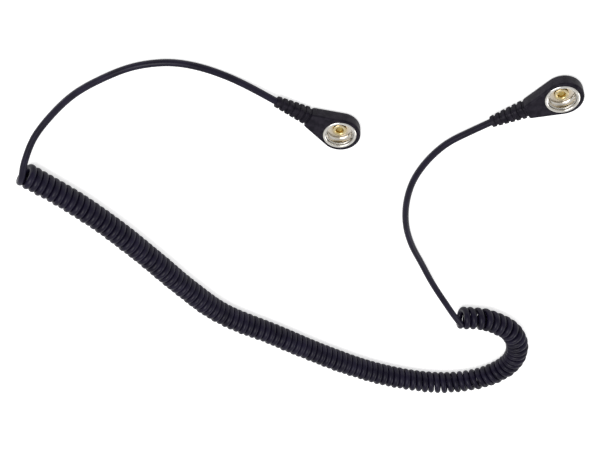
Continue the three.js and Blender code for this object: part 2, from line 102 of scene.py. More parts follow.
class NodeBench:
    """Lays out the nodes of one material, or of the world."""

    def __init__(self, name: str, world: bool = False) -> None:
        """Starts with a plain shader.

        Args:
            name: Name of the material or world.
            world: Make a world instead of a material.
        """
        self.made = (bpy.data.worlds if world else bpy.data.materials).new(name)
        self.made.use_nodes = True
        self.tree = self.made.node_tree
        self.shader = self.tree.nodes["Background" if world else "Principled BSDF"]

    def add(self, kind: str, **settings: object) -> bpy.types.Node:
        """Adds a node.

        Args:
            kind: The node's type name, without its Shader Node prefix.
            settings: Values for the node's own properties.

        Returns:
            The new node.
        """
        node = self.tree.nodes.new("ShaderNode" + kind)
        for key, value in settings.items():
            setattr(node, key, value)
        return node

    def wire(self, source: Socket, target: Socket) -> None:
        """Links one socket to another."""
        self.tree.links.new(source, target)

    def plain(self, **values: object) -> None:
        """Sets sockets of the shader, named with underscores for spaces."""
        for key, value in values.items():
            self.shader.inputs[key.replace("_", " ")].default_value = value

    def coordinates(
        self,
        stretch: Point = (1.0, 1.0, 1.0),
        centre: Point = (0.0, 0.0, 0.0),
        along_surface: bool = False,
        turn: float = 0.0,
    ) -> Socket:
        """Gives the coordinates that a pattern reads.

        Args:
            stretch: Scale along each axis.
            centre: The point that becomes the pattern's origin.
            along_surface: Follow the piece's own UV map instead of its place.
            turn: Turn of the pattern about +Z in radians.

        Returns:
            The mapped vector.
        """
        source = self.add("TexCoord").outputs["UV" if along_surface else "Object"]
        centred = self.add("Mapping", vector_type="POINT")
        centred.inputs["Location"].default_value = tuple(-value for value in centre)
        self.wire(source, centred.inputs["Vector"])
        mapped = self.add("Mapping", vector_type="POINT")
        mapped.inputs["Rotation"].default_value = (0.0, 0.0, turn)
        mapped.inputs["Scale"].default_value = stretch
        self.wire(centred.outputs["Vector"], mapped.inputs["Vector"])
        return mapped.outputs["Vector"]

    def surface(self, colour: Socket, roughness: Socket, normal: Socket) -> Material:
        """Brings the three patterns of a surface to the shader.

        Args:
            colour: What drives the base colour.
            roughness: What drives the roughness.
            normal: The bumped normal.

        Returns:
            The finished material.
        """
        for source, name in ((colour, "Base Color"), (roughness, "Roughness"), (normal, "Normal")):
            self.wire(source, self.shader.inputs[name])
        return self.made

    def noise(self, vector: Socket, size: float, detail: float = 3.0, roughness: float = 0.55) -> Socket:
        """Adds a noise pattern.

        Args:
            vector: The coordinates that it reads.
            size: Rough size of its features, in the units of the coordinates.
            detail: Levels of finer noise in it.
            roughness: Weight of the finer levels.

        Returns:
            Its factor.
        """
        node = self.add("TexNoise")
        node.inputs["Scale"].default_value = 1.0 / size
        node.inputs["Detail"].default_value = detail
        node.inputs["Roughness"].default_value = roughness
        self.wire(vector, node.inputs["Vector"])
        return node.outputs["Fac"]

    def ramp(self, factor: Socket, stops: Sequence[tuple[float, Colour]], stepped: bool = False) -> Socket:
        """Adds a colour ramp.

        Args:
            factor: What drives the ramp.
            stops: Position and colour of each stop.
            stepped: Change colour in steps instead of smoothly.

        Returns:
            The ramp's colour.
        """
        node = self.add("ValToRGB")
        band = node.color_ramp
        band.interpolation = "CONSTANT" if stepped else "LINEAR"
        while len(band.elements) < len(stops):
            band.elements.new(1.0)
        for element, (position, colour) in zip(band.elements, stops):
            element.position = position
            element.color = (*colour, 1.0)
        self.wire(factor, node.inputs["Fac"])
        return node.outputs["Color"]

    def span(
        self, factor: Socket, low: float, high: float, from_low: float = 0.3, from_high: float = 0.7
    ) -> Socket:
        """Brings a factor from one range to another, clamped.

        Args:
            factor: The factor.
            low: What from_low becomes.
            high: What from_high becomes.
            from_low: Start of the factor's range.
            from_high: End of the factor's range.

        Returns:
            The new factor.
        """
        node = self.add("MapRange")
        limits = {"From Min": from_low, "From Max": from_high, "To Min": low, "To Max": high}
        for name, value in limits.items():
            node.inputs[name].default_value = value
        self.wire(factor, node.inputs["Value"])
        return node.outputs["Result"]

    def bump(
        self, height: Socket, distance: float, strength: float = 1.0, under: Socket | None = None
    ) -> Socket:
        """Adds a bump.

        Args:
            height: The pattern that raises the surface.
            distance: Height of the pattern in metres.
            strength: Share of the bump that shows.
            under: Normal of a coarser bump below this one.

        Returns:
            The bumped normal.
        """
        node = self.add("Bump")
        node.inputs["Distance"].default_value = distance
        node.inputs["Strength"].default_value = strength
        self.wire(height, node.inputs["Height"])
        if under is not None:
            self.wire(under, node.inputs["Normal"])
        return node.outputs["Normal"]

    def math(self, operation: str, *values: Socket | float) -> Socket:
        """Adds a sum, product or the like.

        Args:
            operation: The operation's name.
            values: A socket or a number for each of its inputs.

        Returns:
            The result.
        """
        node = self.add("Math", operation=operation)
        for value, target in zip(values, node.inputs):
            if isinstance(value, float):
                target.default_value = value
            else:
                self.wire(value, target)
        return node.outputs["Value"]

    def tinted(self, colour: Socket, tint: Socket) -> Socket:
        """Multiplies two colours.

        Args:
            colour: The one colour.
            tint: The other.

        Returns:
            Their product.
        """
        node = self.add("Mix", data_type="RGBA", blend_type="MULTIPLY")
        node.inputs["Factor"].default_value = 1.0
        first, second = (socket for socket in node.inputs if socket.type == "RGBA")
        self.wire(colour, first)
        self.wire(tint, second)
        return next(socket for socket in node.outputs if socket.type == "RGBA")

    def radius(self, centre: Point) -> Socket:
        """Measures the distance from an upright axis.

        Args:
            centre: A point on the axis.

        Returns:
            The distance in metres.
        """
        flat = self.coordinates(stretch=(1.0, 1.0, 0.0), centre=centre)
        length = self.add("VectorMath", operation="LENGTH")
        self.wire(flat, length.inputs[0])
        return length.outputs["Value"]

    def rings(self, centre: Point, spacing: float) -> Socket:
        """Fine uneven rings about an upright axis, as drawing and turning leave them.

        Args:
            centre: A point on the axis.
            spacing: Rough distance between rings in metres.

        Returns:
            The rings' factor.
        """
        node = self.add("TexNoise", noise_dimensions="1D")
        node.inputs["Scale"].default_value = 1.0 / spacing
        node.inputs["Detail"].default_value = 2.0
        self.wire(self.radius(centre), node.inputs["W"])
        return node.outputs["Fac"]


# --------------------------------------------------------------------------- finishes


@dataclass(frozen=True)
class MouldedPvc:
    """Satin black moulding with a fine eroded grain, slight sink and faint handling marks."""

    dark: Colour = (0.0026, 0.0011, 0.0072)
    light: Colour = (0.0165, 0.0132, 0.0230)
    grain: float = 0.16 * MM
    waviness: float = 2.2 * MM
    roughness: tuple[float, float] = (0.36, 0.58)

    def build(self) -> Material:
        """Makes the material.

        Returns:
            The material.
        """
        bench = NodeBench("moulded_pvc")
        bench.plain(Specular_IOR_Level=0.19, IOR=1.5)
        place = bench.coordinates()
        cloud = bench.noise(place, self.waviness, 4.0)
        grain = bench.noise(place, self.grain, 2.0)
        rubbed = bench.noise(place, self.waviness / 0.35, 6.0, 0.7)
        sink = bench.bump(cloud, 0.05 * MM, 0.35)
        return bench.surface(
            bench.ramp(cloud, [(0.40, self.dark), (0.64, self.light)]),
            bench.span(rubbed, *self.roughness),
            bench.bump(grain, 0.018 * MM, 0.7, under=sink),
        )


@dataclass(frozen=True)
class CordJacket:
    """Satin black polyurethane jacket with faint lines along the cord from extrusion."""

    dark: Colour = (0.0052, 0.0036, 0.0135)
    light: Colour = (0.0138, 0.0108, 0.0300)
    roughness: tuple[float, float] = (0.30, 0.42)
    cord_length: float = CORD_LENGTH
    line_length: float = 0.030
    lines_around: float = 9.0
    along_surface: bool = True

    def build(self) -> Material:
        """Makes the material.

        Returns:
            The material.
        """
        bench = NodeBench("cord_jacket" if self.along_surface else "jacket_end")
        bench.plain(Specular_IOR_Level=0.22, IOR=1.5)
        place = bench.coordinates()
        if self.along_surface:
            stretch = (self.cord_length / self.line_length, self.lines_around, 1.0)
            lines = bench.noise(bench.coordinates(stretch, along_surface=True), 1.0 / 3.0, 3.0)
        else:
            lines = bench.noise(place, 0.5 * MM, 2.0)
        cloud = bench.noise(place, 7.0 * MM, 3.0)
        pores = bench.noise(place, 0.11 * MM, 2.0)
        drawn = bench.bump(lines, 0.012 * MM, 0.6)
        return bench.surface(
            bench.ramp(cloud, [(0.33, self.dark), (0.7, self.light)]),
            bench.span(lines, *self.roughness),
            bench.bump(pores, 0.008 * MM, 0.5, under=drawn),
        )


@dataclass(frozen=True)
class PlatedSheet:
    """Bright nickel plate on drawn sheet, with drawing rings, duller patches and a painted reflection of
    the brass eyelet as a warm tint on the floor around it.
    """

    centre: Point
    name: str
    colour: Colour = (0.92, 0.90, 0.86)
    duller: Colour = (0.80, 0.76, 0.68)
    # painted reflection: the warm colour of the brass eyelet as the socket floor would mirror it
    brass_reflection: Colour = (0.96, 0.85, 0.68)
    roughness: tuple[float, float] = (0.10, 0.20)

    def build(self) -> Material:
        """Makes the material.

        Returns:
            The material.
        """
        bench = NodeBench(self.name)
        bench.plain(Metallic=1.0)
        place = bench.coordinates(centre=self.centre)
        patches = bench.noise(place, 1.7 * MM, 5.0, 0.65)
        rings = bench.rings(self.centre, 0.22 * MM)
        # painted reflection: the eyelet's warm tint is strongest near the middle and fades to none by 5.2
        # mm out
        out = bench.span(bench.radius(self.centre), 0.0, 1.0, 3.0 * MM, 5.2 * MM)
        plate = bench.ramp(patches, [(0.42, self.colour), (0.72, self.duller)])
        painted_brass_reflection = bench.ramp(out, [(0.0, self.brass_reflection), (1.0, (1.0, 1.0, 1.0))])
        return bench.surface(
            bench.tinted(plate, painted_brass_reflection),
            bench.span(patches, *self.roughness),
            bench.bump(rings, 0.005 * MM, 0.35),
        )


@dataclass(frozen=True)
class SpringWire:
    """Plated hard-drawn wire with die lines and slightly darker rubbed places."""

    bright: Colour = (0.74, 0.72, 0.68)
    rubbed: Colour = (0.50, 0.48, 0.44)
    roughness: tuple[float, float] = (0.20, 0.36)

    def build(self) -> Material:
        """Makes the material.

        Returns:
            The material.
        """
        bench = NodeBench("spring_wire")
        bench.plain(Metallic=1.0)
        wear = bench.noise(bench.coordinates(), 0.9 * MM, 4.0)
        lines = bench.noise(bench.coordinates((0.25, 0.25, 3.0)), 0.12 * MM, 2.0)
        return bench.surface(
            bench.ramp(wear, [(0.4, self.bright), (0.75, self.rubbed)]),
            bench.span(wear, *self.roughness),
            bench.bump(lines, 0.006 * MM, 0.5),
        )


@dataclass(frozen=True)
class TurnedBrass:
    """Bright brass with the rings that clinching leaves and olive tarnish in patches, with painted shade
    that darkens and deepens its colour down in its bore.
    """

    centre: Point
    name: str
    bright: Colour = (1.0, 0.98, 0.92)
    tarnished: Colour = (0.80, 0.72, 0.56)
    collar: Colour = (0.90, 0.79, 0.54)
    # painted shade: these two colours are darker, deeper brass for the shade falling into the bore's mouth
    # and down the bore
    mouth: Colour = (0.82, 0.68, 0.38)
    bore_shade: Colour = (0.62, 0.47, 0.16)
    roughness: tuple[float, float] = (0.16, 0.30)

    def build(self) -> Material:
        """Makes the material.

        Returns:
            The material.
        """
        bench = NodeBench(self.name)
        bench.plain(Metallic=1.0)
        place = bench.coordinates(centre=self.centre)
        tarnish = bench.noise(place, 1.1 * MM, 5.0, 0.6)
        rings = bench.rings(self.centre, 0.2 * MM)
        # painted shade: the colour darkens with distance inward from the collar, through the mouth, to the
        # bore's middle
        out = bench.span(bench.radius(self.centre), 0.0, 1.0, 0.9 * MM, 2.3 * MM)
        metal = bench.ramp(
            out, [(0.0, self.bore_shade), (0.3, self.bore_shade), (0.55, self.mouth), (1.0, self.collar)]
        )
        film = bench.ramp(tarnish, [(0.42, self.bright), (0.75, self.tarnished)])
        return bench.surface(
            bench.tinted(metal, film),
            bench.span(tarnish, *self.roughness),
            bench.bump(rings, 0.005 * MM, 0.4),
        )


@dataclass(frozen=True)
class TinPlate:
    """Dull tin plate with a crystalline mottle and rolling lines."""

    bright: Colour = (0.66, 0.66, 0.64)
    dull: Colour = (0.46, 0.46, 0.45)

    def build(self) -> Material:
        """Makes the material.

        Returns:
            The material.
        """
        bench = NodeBench("tin_plate")
        bench.plain(Metallic=1.0)
        spangle = bench.add("TexVoronoi")
        spangle.inputs["Scale"].default_value = 1.0 / (0.6 * MM)
        bench.wire(bench.coordinates(), spangle.inputs["Vector"])
        rolled = bench.noise(bench.coordinates((0.2, 2.0, 2.0)), 0.15 * MM, 2.0)
        return bench.surface(
            bench.ramp(spangle.outputs["Distance"], [(0.1, self.bright), (0.7, self.dull)]),
            bench.span(rolled, 0.32, 0.48),
            bench.bump(rolled, 0.006 * MM, 0.6),
        )


@dataclass(frozen=True)
class StrandedCopper:
    """Bare stranded copper: twisted strands as slanting ridges, browned in places."""

    turn: float
    centre: Point
    name: str
    bright: Colour = (0.80, 0.42, 0.26)
    browned: Colour = (0.42, 0.19, 0.10)
    strand: float = 0.2 * MM

    def build(self) -> Material:
        """Makes the material.

        Returns:
            The material.
        """
        bench = NodeBench(self.name)
        bench.plain(Metallic=1.0)
        place = bench.coordinates((1.0, 2.4, 2.4), self.centre, turn=-self.turn)
        strands = bench.add("TexWave", wave_type="BANDS", bands_direction="DIAGONAL")
        strands.inputs["Scale"].default_value = 0.32 / self.strand
        strands.inputs["Distortion"].default_value = 0.4
        bench.wire(place, strands.inputs["Vector"])
        tone = bench.noise(bench.coordinates(), 0.8 * MM, 4.0)
        return bench.surface(
            bench.ramp(tone, [(0.4, self.bright), (0.72, self.browned)]),
            bench.span(tone, 0.24, 0.42),
            bench.bump(strands.outputs["Fac"], 0.05 * MM, 0.9),
        )


@dataclass(frozen=True)
class BandedLacquer:
    """Pale blue resistor lacquer with the colour bands of 1 megohm, 5 per cent."""

    turn: float
    centre: Point
    body_start: float = 10.4
    body_end: float = 13.8
    lacquer: Colour = (0.20, 0.44, 0.58)
    wire: Colour = (0.66, 0.66, 0.64)
    bands: tuple[Colour, ...] = (
        (0.12, 0.045, 0.02),
        (0.008, 0.008, 0.008),
        (0.03, 0.24, 0.06),
        (0.48, 0.30, 0.06),
    )

    def stops(self) -> list[tuple[float, Colour]]:
        """Lists the bands.

        Returns:
            Positions along the body, from 0 at the lead's root to 1, with their colours.
        """
        body = [(0.0, self.wire), (0.10, self.lacquer)]
        for index, band in enumerate(self.bands):
            start = 0.20 + 0.155 * index + (0.05 if index == len(self.bands) - 1 else 0.0)
            body.extend([(start, band), (start + 0.07, self.lacquer)])
        return body + [(0.90, self.wire)]

    def build(self) -> Material:
        """Makes the material.

        Returns:
            The material.
        """
        bench = NodeBench("banded_lacquer")
        bench.plain(IOR=1.5, Coat_Weight=0.4, Coat_Roughness=0.12)
        along = bench.coordinates(centre=self.centre, turn=-self.turn)
        split = bench.add("SeparateXYZ")
        bench.wire(along, split.inputs["Vector"])
        margin = 0.125 * (self.body_end - self.body_start)
        start, end = -(self.body_start - margin) * MM, -(self.body_end + margin) * MM
        share = bench.span(split.outputs["X"], 0.0, 1.0, start, end)
        mottle = bench.noise(bench.coordinates(), 0.5 * MM, 3.0)
        return bench.surface(
            bench.ramp(share, self.stops(), stepped=True),
            bench.span(mottle, 0.22, 0.36),
            bench.bump(mottle, 0.02 * MM, 0.5),
        )


@dataclass(frozen=True)
class ShrunkSleeve:
    """Thin black shrunk tubing with soft wrinkles."""

    dark: Colour = (0.012, 0.012, 0.013)
    light: Colour = (0.030, 0.030, 0.033)

    def build(self) -> Material:
        """Makes the material.

        Returns:
            The material.
        """
        bench = NodeBench("shrunk_sleeve")
        bench.plain(IOR=1.48)
        wrinkles = bench.noise(bench.coordinates(), 0.9 * MM, 3.0)
        return bench.surface(
            bench.ramp(wrinkles, [(0.35, self.dark), (0.7, self.light)]),
            bench.span(wrinkles, 0.42, 0.6),
            bench.bump(wrinkles, 0.05 * MM, 0.5),
        )


@dataclass(frozen=True)
class PaleTable:
    """White matt table that shows as white paper to the eye, and less so in polished metal."""

    colour: Colour = (0.86, 0.86, 0.86)
    glow: float = 0.66
    mirrored_glow: float = 0.38

    def build(self) -> Material:
        """Makes the material.

        Returns:
            The material.
        """
        bench = NodeBench("pale_table")
        bench.plain(Roughness=0.9, Specular_IOR_Level=0.1)
        grain = bench.noise(bench.coordinates(), 1.0 / 90.0, 4.0)
        lighter = tuple(value * 1.02 for value in self.colour)
        paper = bench.ramp(grain, [(0.3, self.colour), (0.7, lighter)])
        bench.wire(paper, bench.shader.inputs["Base Color"])
        path = bench.add("LightPath").outputs
        mirrored = bench.math("MULTIPLY", path["Is Glossy Ray"], self.mirrored_glow)
        seen = bench.math("MULTIPLY_ADD", path["Is Camera Ray"], self.glow, mirrored)
        bench.plain(Emission_Color=(1.0, 1.0, 1.0, 1.0))
        bench.wire(seen, bench.shader.inputs["Emission Strength"])
        return bench.made


# --------------------------------------------------------------------------- workshop


def put_in_scene(name: str, data: bpy.types.ID) -> Piece:
    """Makes an object of its data and links it to the scene.

    Args:
        name: Name of the object.
        data: Its mesh, curve, lamp or camera.

    Returns:
        The object.
    """
    made = bpy.data.objects.new(name, data)
    bpy.context.scene.collection.objects.link(made)
    return made


class Workshop:
    """Shapes meshes in millimetres and turns them into placed pieces."""

    @staticmethod
    def spin_upright(profile: Profile, closed: bool, steps: int) -> Mesh:
        """Spins a profile about +Z.

        Args:
            profile: Radius and height of each corner in millimetres.
            closed: Join the last corner to the first.
            steps: Faces around.

        Returns:
            The spun mesh.
        """
        mesh = bmesh.new()
        corners = [mesh.verts.new((radius, 0.0, height)) for radius, height in profile]
        pairs = list(zip(corners, corners[1:]))
        if closed:
            pairs.append((corners[-1], corners[0]))
        edges = [mesh.edges.new(pair) for pair in pairs]
        bmesh.ops.spin(
            mesh, geom=corners + edges, cent=(0, 0, 0), axis=(0, 0, 1), dvec=(0, 0, 0),
            angle=math.tau, steps=steps, use_merge=True, use_duplicate=False,
        )
        bmesh.ops.remove_doubles(mesh, verts=mesh.verts, dist=1e-4)
        bmesh.ops.recalc_face_normals(mesh, faces=mesh.faces)
        return mesh

    @staticmethod
    def spin_along_cord(profile: Profile, height: float, steps: int) -> Mesh:
        """Spins a closed profile about the cord's axis, which runs along -X.

        Args:
            profile: Radius and station of each corner in millimetres.
            height: Height of the axis.
            steps: Faces around.

        Returns:
            The spun mesh.
        """
        mesh = Workshop.spin_upright(profile, closed=True, steps=steps)
        lay_down = Matrix.Translation((0, 0, height)) @ Matrix.Rotation(-math.pi / 2, 4, "Y")
        bmesh.ops.transform(mesh, matrix=lay_down, verts=mesh.verts)
        return mesh

    @staticmethod
    def sharp_edges(mesh: Mesh, degrees: float) -> list[Edge]:
        """Edges whose two faces meet at more than the given angle."""
        limit = math.radians(degrees)
        return [edge for edge in mesh.edges if edge.is_manifold and edge.calc_face_angle(0.0) > limit]

    @staticmethod
    def round_edges(mesh: Mesh, edges: Sequence[Edge], radius: float, segments: int) -> None:
        """Rounds edges.

        Args:
            mesh: The mesh.
            edges: Its edges to round.
            radius: Radius in millimetres.
            segments: Faces across each rounding.
        """
        bmesh.ops.bevel(
            mesh, geom=list(edges), offset=radius, offset_type="OFFSET", segments=segments,
            profile=0.5, affect="EDGES", material=-1, clamp_overlap=True,
        )

    @staticmethod
    def finish(mesh: Mesh, name: str, place: Matrix, material: Material, crease: float = 35.0) -> Piece:
        """Turns a mesh in millimetres into a smooth-shaded object in metres.

        Args:
            mesh: The mesh, which is freed.
            name: Name of the object.
            place: Where it goes, in metres.
            material: Its finish.
            crease: Angle in degrees above which an edge stays crisp.

        Returns:
            The object, at the origin with its place in its mesh.
        """
        bmesh.ops.transform(mesh, matrix=place @ Matrix.Scale(MM, 4), verts=mesh.verts)
        data = bpy.data.meshes.new(name)
        mesh.to_mesh(data)
        mesh.free()
        data.shade_smooth()
        data.set_sharp_from_angle(angle=math.radians(crease))
        data.materials.append(material)
        return put_in_scene(name, data)

    @staticmethod
    def stand_for(piece: Piece, node: str, body: str, slot: str) -> None:
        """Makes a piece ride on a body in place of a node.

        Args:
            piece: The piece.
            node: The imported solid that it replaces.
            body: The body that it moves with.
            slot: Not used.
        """
        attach(piece, body)
        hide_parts(node)
        LOG.info("%s stands for %s and rides on %s", piece.name, node, body)

    @staticmethod
    def dress(node: str, material: Material) -> None:
        """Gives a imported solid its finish.

        Args:
            node: Name of the solid.
            material: Its finish.
        """
        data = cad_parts[node].data
        data.materials.clear()
        data.materials.append(material)
        LOG.info("%s is finished as %s", node, material.name)


# --------------------------------------------------------------------------- free cord


@dataclass
class SmoothPath:
    """A smooth path through points, the same one that the solids follow."""

    points: list[Vector]
    after: Vector | None = None

    def segments(self) -> int:
        """Number of stretches between points."""
        return len(self.points) - 1

    def at(self, index: int, share: float) -> Vector:
        """The path's point at a share of one stretch.

        Args:
            index: The stretch.
            share: From 0 at its first point to 1 at its second.

        Returns:
            The point.
        """
        first, second = self.points[index], self.points[index + 1]
        before = self.points[index - 1] if index > 0 else 2 * first - second
        if index + 2 < len(self.points):
            beyond = self.points[index + 2]
        else:
            beyond = self.after if self.after is not None else 2 * second - first
        leave, arrive = (second - before) / 2, (beyond - first) / 2
        cubic = 2 * first - 2 * second + leave + arrive
        square = -3 * first + 3 * second - 2 * leave - arrive
        return cubic * share**3 + square * share**2 + leave * share + first


@dataclass
class CoilAxis:
    """The coil's axis as it runs over the table, measured along its length."""

    route: Sequence[tuple[float, float]]
    fineness: int = 60
    smoothing: int = 8
    samples: list[Vector] = field(default_factory=list)
    stations: list[float] = field(default_factory=list)

    def __post_init__(self) -> None:
        """Samples the axis and measures it."""
        path = SmoothPath([Vector((x, y, 0.0)) for x, y in self.route])
        for index in range(path.segments()):
            self.samples.extend(path.at(index, step / self.fineness) for step in range(self.fineness))
        self.samples.append(path.points[-1].copy())
        self.stations.append(0.0)
        for first, second in zip(self.samples, self.samples[1:]):
            self.stations.append(self.stations[-1] + (second - first).length)

    @property
    def length(self) -> float:
        """Length of the axis."""
        return self.stations[-1]

    def locate(self, station: float) -> tuple[Vector, Vector]:
        """Point and direction at a station, carried on straight past both ends.

        Args:
            station: Distance from the start along the axis.

        Returns:
            The point and the unit direction.
        """
        low = min(max(bisect_right(self.stations, station) - 1, 0), len(self.stations) - 2)
        first, second = self.samples[low], self.samples[low + 1]
        gap = self.stations[low + 1] - self.stations[low]
        share = (station - self.stations[low]) / gap
        nearby = self.samples[max(0, low - self.smoothing) : low + self.smoothing + 2]
        return first + (second - first) * share, (nearby[-1] - nearby[0]).normalized()


def ripple(waves: Sequence[Wave], turn: float) -> float:
    """Adds up slow waves along the coil, which make its turns a little uneven.

    Args:
        waves: Size, rate per turn and start of each wave.
        turn: The place along the coil, in turns.

    Returns:
        The sum of the waves there.
    """
    return sum(size * math.sin(turn * rate + start) for size, rate, start in waves)


@dataclass
class FreeCord:
    """The one length of cord: a lead, the right-handed coil, and the other lead.

    Sizes are in metres. The coil is close wound up to close_turns and open from open_turns on,
    and its turns lean most on the side that lean_out along +Y and lean_up along +Z point to.
    """

    diameter: float = 0.0027
    coil_radius: float = 0.00366
    turns: int = 109
    wrist_overhang: float = 0.0022
    ground_overhang: float = 0.0017
    close_pitch: float = 0.0028
    open_pitch: float = 0.00336
    close_turns: int = 68
    open_turns: int = 98
    end_pitch: float = 0.00275
    end_turns: float = 1.4
    lean: float = 0.00004
    end_lean: float = -0.0006
    end_lean_from: float = 6.0
    end_lean_over: float = 4.0
    lean_out: float = 0.734
    lean_up: float = 0.68
    coil_swell: float = 1.035
    radius_waves: tuple[Wave, ...] = ((0.00005, 2.4, 0.0), (0.00004, 0.71, 1.0))
    lean_wave: Wave = (0.00010, 1.3, 0.4)
    wrist_lift_off: int = 3
    points_per_turn: int = 24
    lead_step: float = 0.0032
    length: float = CORD_LENGTH
    wrist_route: tuple[Point, ...] = (
        (-0.034, 0.0195, 0.00195), (-0.043, 0.0241, 0.00135), (-0.053, 0.028, 0.00135),
        (-0.0635, 0.0295, 0.00135), (-0.076, 0.0272, 0.00135), (-0.0879, 0.0213, 0.00135),
        (-0.0994, 0.01325, 0.00135), (-0.1093, 0.0028, 0.00175), (-0.1173, -0.0074, 0.0043),
        (-0.1217, -0.0172, 0.0074), (-0.123, -0.022, 0.00855), (-0.124, -0.0253, 0.00875),
        (-0.125, -0.028, 0.0077),
    )
    ground_route: tuple[Point, ...] = (
        (0.0492, 0.0, 0.0019), (0.0416, -0.0067, 0.00135), (0.035, -0.0162, 0.00135),
        (0.0305, -0.0276, 0.00135), (0.0289, -0.0405, 0.00135), (0.0299, -0.0535, 0.00135),
        (0.0333, -0.0655, 0.00135), (0.0383, -0.0764, 0.0016), (0.0444, -0.0879, 0.0038),
        (0.0514, -0.0982, 0.007), (0.0553, -0.1041, 0.0083), (0.0587, -0.1093, 0.00875),
    )
    coil_route: tuple[tuple[float, float], ...] = (
        (-0.12205, -0.02725), (-0.1049, -0.0424), (-0.0899, -0.0588),
        (-0.0759, -0.0768), (-0.0624, -0.0949), (-0.0471, -0.1117),
        (-0.0245, -0.1256), (-0.0021, -0.1398), (0.0209, -0.1518),
        (0.043, -0.1584), (0.0611, -0.1589), (0.0757, -0.1536),
        (0.0858, -0.1427), (0.0874, -0.1293), (0.0822, -0.1177),
        (0.072, -0.1109), (0.0658, -0.1095), (0.0603, -0.1093),
    )

    def pitch(self, turn: float) -> float:
        """Pitch at a turn: close wound, opening towards the ground end, with the last turn closed up.

        Args:
            turn: The place along the coil, in turns.

        Returns:
            The pitch, before it is fitted to the axis.
        """
        if turn > self.turns - self.end_turns:
            return self.end_pitch
        share = (turn - self.close_turns) / (self.open_turns - self.close_turns)
        return self.close_pitch + (self.open_pitch - self.close_pitch) * min(1.0, max(0.0, share))

    def stations(self, axis_length: float) -> list[float]:
        """Where each point of the coil lies along its axis.

        Args:
            axis_length: Length of the axis that the coil's pitches are fitted to.

        Returns:
            One station for each point, from the overhang before the axis to the one after it.
        """
        count = self.turns * self.points_per_turn
        steps = [self.pitch((index + 0.5) / self.points_per_turn) for index in range(count)]
        scale = (axis_length + self.wrist_overhang + self.ground_overhang) / sum(steps)
        return list(accumulate((step * scale for step in steps), initial=-self.wrist_overhang))

    def tilt(self, turn: float, angle: float, direction: Vector) -> float:
        """How far a point of a turn lies along the axis because the turn leans over.

        Args:
            turn: The place along the coil, in turns.
            angle: The point's angle about the axis.
            direction: Direction of the axis.

        Returns:
            The distance along the axis.
        """
        leaning = (turn - self.turns + self.end_lean_from) / self.end_lean_over
        amount = self.lean + self.end_lean * min(1.0, max(0.0, leaning))
        return amount * math.cos(angle - math.atan2(self.lean_up, self.lean_out * direction.x))

    def coil_points(self) -> list[Vector]:
        """Works out the points of the coil.

        Returns:
            The points, from the top of its first turn to the top of its last.
        """
        axis = CoilAxis(self.coil_route)
        angle_step = math.tau / self.points_per_turn
        outset = 3.0 / (2.0 + math.cos(angle_step))
        points = []
        for index, station in enumerate(self.stations(axis.length)):
            turn = index / self.points_per_turn
            centre, direction = axis.locate(station)
            radius = self.coil_radius + ripple(self.radius_waves, turn)
            centre.z = radius + self.diameter * self.coil_swell / 2
            across = Vector((-direction.y, direction.x, 0.0))
            angle = math.pi / 2 + index * angle_step
            lean = ripple([self.lean_wave], turn) * math.sin(angle) + self.tilt(turn, angle, direction)
            spoke = across * math.cos(angle) + Vector((0.0, 0.0, math.sin(angle)))
            points.append(centre + direction * lean + spoke * radius * outset)
        return points

    def lead_points(self, end: End, route: Sequence[Point], onward: Vector) -> list[Vector]:
        """Points along one lead, from its strain relief to the top of the coil.

        Args:
            end: The snap end that it comes from.
            route: Its chosen points.
            onward: Where the cord goes on in the coil.

        Returns:
            The points.
        """
        place = EndPlace.of(end)
        path = SmoothPath([place.tip(0.3)] + [Vector(point) for point in route], onward)
        points = [place.tip(0.0)]
        for index in range(path.segments()):
            gap = (path.points[index + 1] - path.points[index]).length
            count = max(3, round(gap / self.lead_step))
            points.extend(path.at(index, step / count) for step in range(count))
        return points

    def centreline(self) -> tuple[list[Vector], list[float]]:
        """Strings the leads and the coil together.

        Returns:
            The cord's middle from the wrist end to the ground end, and its swelling at each point.
        """
        coil = self.coil_points()[self.wrist_lift_off:]
        wrist = self.lead_points(End.WRIST, self.wrist_route, coil[4])
        ground = self.lead_points(End.GROUND, self.ground_route, coil[-5])
        swell = [1.0] * len(wrist) + [self.coil_swell] * len(coil) + [1.0] * len(ground)
        return wrist + coil + ground[::-1], swell

    def build(self) -> Piece:
        """Returns:
            The cord.
        """
        line, swell = self.centreline()
        data = bpy.data.curves.new("coiled_cord", "CURVE")
        data.dimensions = "3D"
        data.twist_mode = "MINIMUM"
        data.bevel_depth = self.diameter / 2
        data.bevel_resolution = 6
        data.use_fill_caps = True
        data.resolution_u = 2
        spline = data.splines.new("NURBS")
        spline.points.add(len(line) - 1)
        for target, point, thickness in zip(spline.points, line, swell):
            target.co = (*point, 1.0)
            target.radius = thickness
        spline.order_u = 4
        spline.use_endpoint_u = True
        spline.resolution_u = 2
        data.materials.append(CordJacket().build())
        cord = put_in_scene("coiled_cord", data)
        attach(cord, FIXED_BODY)
        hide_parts("cord_wrist_lead", "cord_coil", "cord_ground_lead")
        measured = sum((second - first).length for first, second in zip(line, line[1:]))
        LOG.info("coiled_cord: %d points, %.3f m along its middle", len(line), measured)
        return cord


# --------------------------------------------------------------------------- snap ends


